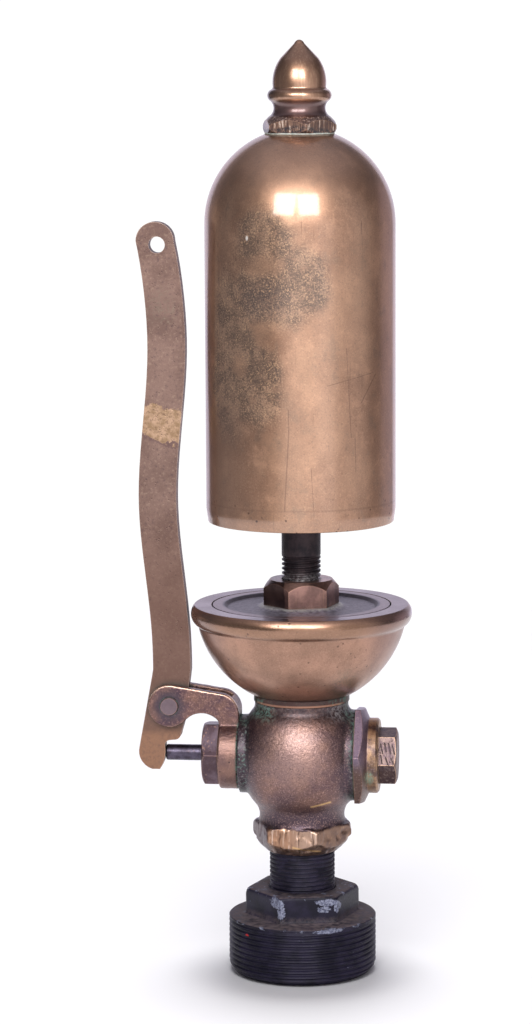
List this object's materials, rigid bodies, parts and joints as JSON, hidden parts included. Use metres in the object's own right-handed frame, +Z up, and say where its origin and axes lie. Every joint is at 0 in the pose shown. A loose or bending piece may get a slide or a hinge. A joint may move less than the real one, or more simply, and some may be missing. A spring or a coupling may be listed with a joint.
{
  "type": "steam bell whistle",
  "caption": "Steam bell whistle: a lever-worked spring-closed valve on a pipe nipple and bushing, a bowl with an annular slot, and a closed bell that screws up and down to tune.",
  "frame": {"origin": "centre of the bushing's lower face, on the axis of the bell and spindle", "axes": "+Z up the spindle towards the acorn nut; +X from the lever side towards the valve's bonnet; -Y is the front"},
  "size_m": [0.1112, 0.0894, 0.3773],
  "materials": {
    "bell_bronze": "aged brown bronze, satin, with a mottled grey patina",
    "acorn_bronze": "worn glossy bronze",
    "bowl_bronze": "smooth turned bronze",
    "disc_bronze": "dark turned bronze with lathe rings",
    "cast_bronze": "sand-cast bronze, grainy",
    "lever_brass": "matte brown brass with worn patches",
    "nut_bronze": "wrench-marked bronze",
    "stem_steel": "dark blued steel",
    "spindle_steel": "near-black brown",
    "black_iron": "satin black paint, chipped",
    "spring_brass": "drawn wire",
    "fibre": "compressed fibre sheet",
    "packing": "graphited braid",
    "disc_composition": "moulded composition"
  },
  "bodies": {
    "whistle_base": {"reducing_bushing": "black_iron", "pipe_nipple": "black_iron", "valve_body": "cast_bronze", "seat_ring": "nut_bronze", "lever_bracket": "cast_bronze", "lever_pin": "nut_bronze", "pin_washer": "nut_bronze", "packing_nut": "nut_bronze", "packing_gland": "nut_bronze", "stem_packing": "packing", "bonnet_gasket": "fibre", "valve_bonnet": "nut_bronze", "bonnet_plug": "nut_bronze", "valve_spring": "spring_brass", "bowl": "bowl_bronze", "bowl_disc": "disc_bronze", "spindle": "spindle_steel", "spindle_nut": "nut_bronze"},
    "bell_carrier": {"bell_washer": "fibre"},
    "bell_group": {"bell": "bell_bronze", "acorn_nut": "acorn_bronze"},
    "lever_arm": {"lever": "lever_brass"},
    "stem_group": {"valve_stem": "stem_steel", "valve_disc": "nut_bronze", "disc_insert": "disc_composition", "disc_nut": "nut_bronze"}
  },
  "joints": [
    {"name": "lever_pivot", "type": "hinge", "parent": "whistle_base", "child": "lever_arm", "pos_m": [-0.0534, 0, 0.1097], "axis": [0, -1, 0], "range_deg": [0, 14]},
    {"name": "stem_slide", "type": "slide", "parent": "whistle_base", "child": "stem_group", "axis": [1, 0, 0], "range_m": [0, 0.0052], "stiffness_N_per_m": 1000, "springref_m": -0.008, "deforming": ["valve_spring"]},
    {"name": "bell_height", "type": "slide", "parent": "whistle_base", "child": "bell_carrier", "axis": [0, 0, 1], "range_m": [-0.0055, 0.0055]},
    {"name": "bell_turn", "type": "hinge", "parent": "bell_carrier", "child": "bell_group", "pos_m": [0, 0, 0.2], "axis": [0, 0, 1], "range_deg": [-1080, 1080]}
  ],
  "couplings": [
    {"joint": "stem_slide", "follows": "lever_pivot", "m_per_rad": 0.02098},
    {"joint": "bell_height", "follows": "bell_turn", "m_per_rad": 0.00028875}
  ]
}
